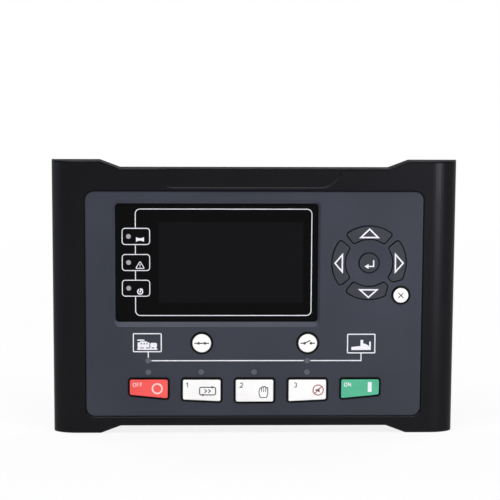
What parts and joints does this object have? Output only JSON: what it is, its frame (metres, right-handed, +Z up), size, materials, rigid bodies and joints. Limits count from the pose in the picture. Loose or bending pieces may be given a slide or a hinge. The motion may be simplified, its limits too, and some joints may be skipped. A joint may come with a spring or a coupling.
{
  "type": "generator set controller",
  "caption": "Door-mounted generator set controller with a display window, a direction pad, breaker and engine keys, indicator lamps and rear wire terminals.",
  "frame": {"origin": "centre of the door's cut-out, in the plane where the front flange meets the door", "axes": "+X to the right and +Z up as seen by the person at the door, +Y into the switchboard"},
  "size_m": [0.266, 0.045, 0.182],
  "materials": {
    "black_moulding": "fine moulded texture, satin black",
    "gasket_foam": "closed-cell foam",
    "grey_panel": "moulded, satin blue-grey",
    "lens_acrylic": "polished smoked acrylic",
    "light_guide": "clear moulded, diffusing",
    "mat_silicone": "moulded silicone",
    "circuit_board": "solder-masked glass epoxy",
    "screw_steel": "zinc plated",
    "component_black": "moulded component cases",
    "terminal_green": "moulded, satin green",
    "dark_key": "moulded, satin dark grey",
    "white_key": "moulded, satin white",
    "red_key": "moulded, satin red",
    "green_key": "moulded, satin green"
  },
  "bodies": {
    "unit": {"front_bezel": "black_moulding", "rear_housing": "black_moulding", "panel_gasket": "gasket_foam", "face_panel": "grey_panel", "display_lens": "lens_acrylic", "status_light_guide": "light_guide", "lamp_generator": "light_guide", "lamp_load": "light_guide", "lamp_stop": "light_guide", "lamp_auto": "light_guide", "lamp_manual": "light_guide", "lamp_mute": "light_guide", "keypad_mat": "mat_silicone", "display_board": "circuit_board", "main_board": "circuit_board", "lcd_module": "screw_steel", "usb_port": "screw_steel", "clock_battery": "screw_steel", "board_spacer_1": "screw_steel", "board_spacer_2": "screw_steel", "board_spacer_3": "screw_steel", "board_spacer_4": "screw_steel", "case_screw_1": "screw_steel", "case_screw_2": "screw_steel", "case_screw_3": "screw_steel", "case_screw_4": "screw_steel", "board_link": "component_black", "link_port": "component_black", "relay_1": "component_black", "relay_2": "component_black", "relay_3": "component_black", "relay_4": "component_black", "terminal_header_1": "terminal_green", "terminal_header_2": "terminal_green", "terminal_header_3": "terminal_green", "terminal_header_4": "terminal_green", "terminal_header_5": "terminal_green", "terminal_header_6": "terminal_green", "terminal_plug_1": "terminal_green", "terminal_plug_2": "terminal_green", "terminal_plug_3": "terminal_green", "terminal_plug_4": "terminal_green", "terminal_plug_5": "terminal_green", "terminal_plug_6": "terminal_green"},
    "key_up": {"key_up": "dark_key"},
    "key_down": {"key_down": "dark_key"},
    "key_left": {"key_left": "dark_key"},
    "key_right": {"key_right": "dark_key"},
    "key_enter": {"key_enter": "dark_key"},
    "key_escape": {"key_escape": "white_key"},
    "key_close": {"key_close": "white_key"},
    "key_open": {"key_open": "white_key"},
    "key_stop": {"key_stop": "red_key"},
    "key_auto": {"key_auto": "white_key"},
    "key_manual": {"key_manual": "white_key"},
    "key_mute": {"key_mute": "white_key"},
    "key_start": {"key_start": "green_key"}
  },
  "joints": [
    {"name": "key_up_press", "type": "slide", "parent": "unit", "child": "key_up", "axis": [0, 1, 0], "range_m": [0, 0.001], "stiffness_N_per_m": 800},
    {"name": "key_down_press", "type": "slide", "parent": "unit", "child": "key_down", "axis": [0, 1, 0], "range_m": [0, 0.001], "stiffness_N_per_m": 800},
    {"name": "key_left_press", "type": "slide", "parent": "unit", "child": "key_left", "axis": [0, 1, 0], "range_m": [0, 0.001], "stiffness_N_per_m": 800},
    {"name": "key_right_press", "type": "slide", "parent": "unit", "child": "key_right", "axis": [0, 1, 0], "range_m": [0, 0.001], "stiffness_N_per_m": 800},
    {"name": "key_enter_press", "type": "slide", "parent": "unit", "child": "key_enter", "axis": [0, 1, 0], "range_m": [0, 0.001], "stiffness_N_per_m": 800},
    {"name": "key_escape_press", "type": "slide", "parent": "unit", "child": "key_escape", "axis": [0, 1, 0], "range_m": [0, 0.001], "stiffness_N_per_m": 800},
    {"name": "key_close_press", "type": "slide", "parent": "unit", "child": "key_close", "axis": [0, 1, 0], "range_m": [0, 0.001], "stiffness_N_per_m": 800},
    {"name": "key_open_press", "type": "slide", "parent": "unit", "child": "key_open", "axis": [0, 1, 0], "range_m": [0, 0.001], "stiffness_N_per_m": 800},
    {"name": "key_stop_press", "type": "slide", "parent": "unit", "child": "key_stop", "axis": [0, 1, 0], "range_m": [0, 0.001], "stiffness_N_per_m": 800},
    {"name": "key_auto_press", "type": "slide", "parent": "unit", "child": "key_auto", "axis": [0, 1, 0], "range_m": [0, 0.001], "stiffness_N_per_m": 800},
    {"name": "key_manual_press", "type": "slide", "parent": "unit", "child": "key_manual", "axis": [0, 1, 0], "range_m": [0, 0.001], "stiffness_N_per_m": 800},
    {"name": "key_mute_press", "type": "slide", "parent": "unit", "child": "key_mute", "axis": [0, 1, 0], "range_m": [0, 0.001], "stiffness_N_per_m": 800},
    {"name": "key_start_press", "type": "slide", "parent": "unit", "child": "key_start", "axis": [0, 1, 0], "range_m": [0, 0.001], "stiffness_N_per_m": 800}
  ]
}
